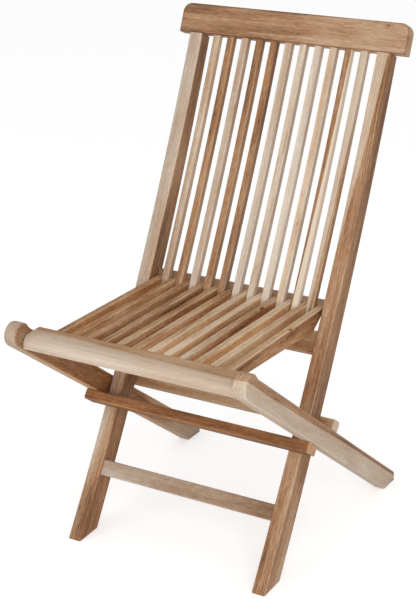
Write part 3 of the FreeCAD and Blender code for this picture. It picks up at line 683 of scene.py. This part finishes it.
for side, sign, board in (
        ("left", -1, {"look": (0.81, 1.9, 1.0), "shade": (0, 0, 0.4), "glow": (0, 0, 0, -12),
                      "sap": (0, -4, 0.014, -0.8264), "pale": 0.46,
                      "knot": (0.004, -0.206, -0.19), "from": 40}),
        ("right", 1, {"look": (0.69, 0.80, 1.2), "shade": (0, 0, 0.3),
                      "sap": (-1, 0, 0.012, 0.0095), "pale": 0.27, "from": 41})):
    ends = sorted((sign * LEG_INNER, sign * (LEG_INNER + LEG_DEPTH)))
    wooden(side + "_leg", stations(*ends, ease=0.0035), leg_ring, board,
           "rear_legs", ["rear_leg_" + side], "teak_leg")


# Stop rails. One is screwed under the rear legs and one on top of them; open, the first
# bears on the front of the posts and the second on their rear.
STOP_HALF, STOP_DEPTH = 0.228, 0.019
FRONT_STOP_REAR, FRONT_STOP_WIDTH = -0.0179183, 0.035
REAR_STOP_FRONT, REAR_STOP_WIDTH = 0.0232709, 0.026
# Both have a little sapwood at their right end
STOP_SAP = (0, 0, 1, -0.2265)


def leg_spot(along, up):
    # Places beside the legs, measured from a rail's lower front edge.
    return lambda a, b: on_leg(along + a, up + b)


for name, along, up, width, board in (
        ("front_stop", FRONT_STOP_REAR - FRONT_STOP_WIDTH, -LEG_HALF - STOP_DEPTH,
         FRONT_STOP_WIDTH, {"look": (0.94, 1.75, 0.6), "sap": STOP_SAP, "pale": 0.5, "from": 50}),
        ("rear_stop", REAR_STOP_FRONT, LEG_HALF,
         REAR_STOP_WIDTH, {"look": (0.50, 1.1, 1.0), "shade": (0, 0, -0.3), "sap": STOP_SAP,
                           "pale": 0.2, "from": 51})):
    wooden(name, stations(-STOP_HALF, STOP_HALF, ease=0.0015),
           rail_ring(leg_spot(along, up), width, STOP_DEPTH), board,
           "rear_legs", [name + "_rail"], "teak_rail")


# Pins and washers. Turned steel, brushed round, hidden in the wood but for the washers
# between the posts and the rear legs.
DULL_STEEL, BRIGHT_STEEL = (0.55, 0.55, 0.53, 1), (0.72, 0.71, 0.69, 1)
steel = bpy.data.materials.new("steel")
steel.use_nodes = True
tree = steel.node_tree
shader = tree.nodes["Principled BSDF"]
where = add(tree, "ShaderNodeTexCoord").outputs["Object"]
brush = add(tree, "ShaderNodeMapping", [("Vector", where), ("Scale", (900, 60, 60))])
brush = add(tree, "ShaderNodeTexNoise", [("Vector", brush.outputs[0]), ("Detail", 3.0)])
stain = add(tree, "ShaderNodeTexNoise", [("Vector", where), ("Scale", 120.0)])
tone = add(tree, "ShaderNodeMix", [
    (0, stain.outputs[0]), (6, DULL_STEEL), (7, BRIGHT_STEEL)], data_type="RGBA")
rough = calc(tree, "MULTIPLY_ADD", brush.outputs[0], 0.25, 0.22)
bump = add(tree, "ShaderNodeBump", [
    ("Height", brush.outputs[0]), ("Strength", 0.2), ("Distance", 0.0002)])
tree.links.new(tone.outputs[2], shader.inputs["Base Color"])
tree.links.new(rough, shader.inputs["Roughness"])
tree.links.new(bump.outputs[0], shader.inputs["Normal"])
shader.inputs["Metallic"].default_value = 1.0
for name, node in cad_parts.items():
    if "_pin_" in name or "_washer_" in name:
        for place in node.material_slots:
            place.material = steel


# Seat front rail. One board between the knuckles, pinned at both ends, its upper front edge
# well rounded for the legs of the sitter.
PIN_Y, PIN_Z = -0.2823651, 0.4243280
FRONT_RAIL_HALF, FRONT_RAIL_WIDTH, FRONT_RAIL_DEPTH = LEG_INNER - 0.001, 0.049, 0.024
# The middle of its section behind and above the pin
FRONT_RAIL_BEHIND, FRONT_RAIL_ABOVE = 0.0115, -0.001
# Its edges: upper rear, upper front, lower front, lower rear; only the lower ones are made lighter,
# as wear and painted highlight
FRONT_RAIL_EDGES, WORN_AND_LIT_BELOW = (0.002, 0.017, 0.003, 0.003), 0.004


def front_rail_ring(x, inset):
    points = []
    for deep, up, edge in rounded(FRONT_RAIL_WIDTH, FRONT_RAIL_DEPTH, FRONT_RAIL_EDGES, inset, 8):
        y, z = PIN_Y + FRONT_RAIL_BEHIND + deep, PIN_Z + FRONT_RAIL_ABOVE + up
        points.append(((x, y, z), (up, deep, x), edge if up < WORN_AND_LIT_BELOW else 0.0))
    return points


wooden("front_rail", stations(-FRONT_RAIL_HALF, FRONT_RAIL_HALF, ease=0.001), front_rail_ring,
       {"look": (0.56, 0.95, 1.0), "shade": (0, 0, -0.05), "glow": (0, 10, 0),
        "sap": (0, -1, -0.045, 0.001), "pale": 0.32, "from": 60},
       "seat", ["seat_front_rail"], "teak_rail")


# Seat slats. Twelve straight slats on edge run from the front rail back between the back
# slats, getting deeper to the rear up to their clipped ends, each from a different board.
teak("teak_seat_slat", ring_width=0.0045, ring_depth=0.14, streaks=0.7, clouds=1.3, mottle=0.6)
SEAT_SLATS, SEAT_DEPTH, SEAT_LENGTH = 12, 0.0235, 0.3311680
# The lower edge drops to the rear more than the upper one. The rear end is clipped from
# below to a narrow tip and cut slanting.
tree, given, slats, (x, deep, back) = slat_row("tapered_slats", (
    ("Count", "Int", SEAT_SLATS), ("Steps", "Int", 35), ("Pitch", "Float", PITCH),
    ("Length", "Float", SEAT_LENGTH), ("Depth", "Float", SEAT_DEPTH),
    ("Front Y", "Float", PIN_Y + 0.036), ("Top Z", "Float", PIN_Z + 0.0105),
    ("Drop", "Float", math.tan(math.radians(1.97))),
    ("Lower Drop", "Float", math.tan(math.radians(3.98))),
    ("Clip", "Float", 0.040), ("Tip", "Float", 0.009), ("End Slope", "Float", 0.5630)))
low = calc(tree, "GREATER_THAN", deep, calc(tree, "MULTIPLY", given["Depth"], 0.5))
fall = calc(tree, "MULTIPLY", back, given["Drop"])
extra = calc(tree, "SUBTRACT", given["Lower Drop"], given["Drop"])
taper = calc(tree, "MULTIPLY", calc(tree, "MULTIPLY", back, extra), low)
full = calc(tree, "MULTIPLY_ADD", given["Length"], extra,
            calc(tree, "SUBTRACT", given["Depth"], given["Tip"]))
share = calc(tree, "SUBTRACT", calc(tree, "ADD", back, given["Clip"]), given["Length"])
share = calc(tree, "MAXIMUM", calc(tree, "DIVIDE", share, given["Clip"]), 0.0)
clip = calc(tree, "MULTIPLY", calc(tree, "MULTIPLY", share, full), low)
z = calc(tree, "SUBTRACT", calc(tree, "SUBTRACT", given["Top Z"], fall), deep)
z = calc(tree, "ADD", calc(tree, "SUBTRACT", z, taper), clip)
lean = calc(tree, "MULTIPLY", calc(tree, "MULTIPLY", given["Tip"], given["End Slope"]), low)
lean = calc(tree, "MULTIPLY", calc(tree, "DIVIDE", back, given["Length"]), lean)
y = calc(tree, "SUBTRACT", calc(tree, "ADD", back, given["Front Y"]), lean)
# From left to right as seen from the front
# Their drift through the depth makes the sides paler or darker and mostly warmer than the tops:
# partly the boards' own colour, partly painted light for the warm light bounced between the slats.
# The last slat's pale top over dark sides is partly painted light as well.
seat_boards = [
    {"look": (0.62, 1.1, 1.0), "shade": (0, -8, 0.2), "glow": (0, 155, 0), "from": 70},
    {"look": (0.66, 1.2, 1.2), "shade": (0, -45, 0), "glow": (0, 135, 0)},
    {"look": (0.82, 1.2, 1.0), "shade": (0, 12, -0.8), "glow": (0, 70, 0)},
    {"look": (0.44, 1.0, 1.0), "shade": (0, 16, 0.5), "glow": (0, 80, 0)},
    {"look": (0.42, 1.1, 1.2), "shade": (0, 22, 0.5), "glow": (0, 70, 0)},
    {"look": (0.39, 1.1, 1.0), "shade": (0, -8, 0.5), "glow": (0, 80, 0)},
    {"look": (0.08, 1.05, 1.0), "shade": (0, -6, 0.95), "glow": (0, 120, 0)},
    {"look": (0.02, 1.05, 1.0), "shade": (0, 26, 0.45), "glow": (0, 145, 0)},
    {"look": (0.46, 0.9, 1.0), "shade": (0, 12, 0.8), "glow": (0, 115, 0),
     "knot": (0.006, 0.0, 0.265)},
    {"look": (0.27, 1.1, 1.0), "shade": (0, -4, 0), "glow": (0, 125, 0)},
    {"look": (0.23, 1.1, 1.0), "shade": (0, -16, 0), "glow": (0, 160, 0)},
    {"look": (0.86, 1.5, 1.2), "sap": (0, -1, 0, 0.0025), "pale": 0.35,
     "knot": (0.006, 0.0, 0.200)},
]
slats_from("seat_slats", tree, given, slats, (x, y, z), SEAT_DEPTH, seat_boards, "seat",
           ["seat_slat_%02d" % number for number in range(1, SEAT_SLATS + 1)], "teak_seat_slat")


# Seat rear rail. A strip behind the back slats that the ends of the seat slats run into and
# that travels up the back as the chair folds.
REAR_RAIL_AT, REAR_RAIL_SETBACK, REAR_RAIL_HEIGHT = 0.498, 0.0240, 0.025
REAR_RAIL_HALF = BETWEEN_HALF - 0.0015
wooden("rear_rail", stations(-REAR_RAIL_HALF, REAR_RAIL_HALF, ease=0.001),
       rail_ring(back_spot(REAR_RAIL_AT, REAR_RAIL_SETBACK), REAR_RAIL_HEIGHT, RAIL_DEPTH),
       {"look": (0.62, 0.25, 1.0), "from": 90}, "rear_rail", ["seat_rear_rail"], "teak_rail")


# Floor, light and camera. A wide pale floor, which the camera sees nearly white, an even
# sky, and two large soft lamps in front of the chair, the stronger one on the right.
FLOOR_REACH, FLOOR_GLOW, SKY_LIGHT = 30, 0.42, 0.62
floor_mesh = bpy.data.meshes.new("floor")
floor_mesh.from_pydata([(x * FLOOR_REACH, y * FLOOR_REACH, 0)
                        for x, y in ((-1, -1), (1, -1), (1, 1), (-1, 1))], [], [(0, 1, 2, 3)])
floor = bpy.data.objects.new("floor", floor_mesh)
bpy.context.scene.collection.objects.link(floor)
pale = bpy.data.materials.new("pale_floor")
pale.use_nodes = True
tree = pale.node_tree
shader = tree.nodes["Principled BSDF"]
shader.inputs["Base Color"].default_value = (0.86, 0.86, 0.86, 1)
shader.inputs["Roughness"].default_value = 0.9
shader.inputs["Specular IOR Level"].default_value = 0.1
rays = add(tree, "ShaderNodeLightPath").outputs
seen = calc(tree, "MAXIMUM", rays["Is Camera Ray"], rays["Is Glossy Ray"])
seen = calc(tree, "MAXIMUM", seen, rays["Is Transmission Ray"])
shader.inputs["Emission Color"].default_value = (1, 1, 1, 1)
tree.links.new(calc(tree, "MULTIPLY", seen, FLOOR_GLOW), shader.inputs["Emission Strength"])
floor_mesh.materials.append(pale)

world = bpy.data.worlds.new("sky")
world.use_nodes = True
bpy.context.scene.world = world
tree = world.node_tree
background = tree.nodes["Background"]
rays = add(tree, "ShaderNodeLightPath").outputs
seen = calc(tree, "MAXIMUM", rays["Is Camera Ray"], rays["Is Transmission Ray"])
sky = calc(tree, "MULTIPLY_ADD", seen, 1.0 - SKY_LIGHT, SKY_LIGHT)
background.inputs["Color"].default_value = (1, 1, 1, 1)
tree.links.new(sky, background.inputs["Strength"])

LAMP_SIZE, CHAIR_MIDDLE = 2.4, Vector((0, 0, 0.45))
for name, power, spot in (("left_lamp", 28.0, (-1.55, -3.5, 1.55)),
                          ("right_lamp", 56.0, (1.9, -2.9, 1.7))):
    lamp_data = bpy.data.lights.new(name, "AREA")
    lamp_data.size, lamp_data.energy = LAMP_SIZE, power
    lamp = bpy.data.objects.new(name, lamp_data)
    lamp.location = spot
    aim = CHAIR_MIDDLE - lamp.location
    lamp.rotation_euler = aim.to_track_quat("-Z", "Y").to_euler()
    bpy.context.scene.collection.objects.link(lamp)

# The camera's place and turns, and its lens in pixels of the 416 by 599 frame
EYE = Vector((1.2646, -2.1779, 1.4569))
YAW, TILT, ROLL = (math.radians(a) for a in (30.555, -22.430, -1.180))
FRAME_WIDTH, FRAME_HEIGHT, SENSOR = 416, 599, 24.0
FOCAL, CENTRE_X, CENTRE_Y = 1544.84, 206.56, 308.28
ahead = Vector((-math.sin(YAW) * math.cos(TILT), math.cos(YAW) * math.cos(TILT), math.sin(TILT)))
across = Vector((math.cos(YAW), math.sin(YAW), 0))
above = across.cross(ahead)
across, above = (math.cos(ROLL) * across + math.sin(ROLL) * above,
                 math.cos(ROLL) * above - math.sin(ROLL) * across)
camera_data = bpy.data.cameras.new("camera")
camera = bpy.data.objects.new("camera", camera_data)
bpy.context.scene.collection.objects.link(camera)
turned = Matrix((across, above, -ahead)).transposed()
camera.matrix_world = Matrix.Translation(EYE) @ turned.to_4x4()
camera_data.sensor_fit = "VERTICAL"
camera_data.sensor_height = SENSOR
camera_data.lens = FOCAL / FRAME_HEIGHT * SENSOR
camera_data.shift_x = (FRAME_WIDTH / 2 - CENTRE_X) / FRAME_HEIGHT
camera_data.shift_y = (CENTRE_Y - FRAME_HEIGHT / 2) / FRAME_HEIGHT
bpy.context.scene.camera = camera
bpy.context.scene.view_settings.view_transform = "Standard"
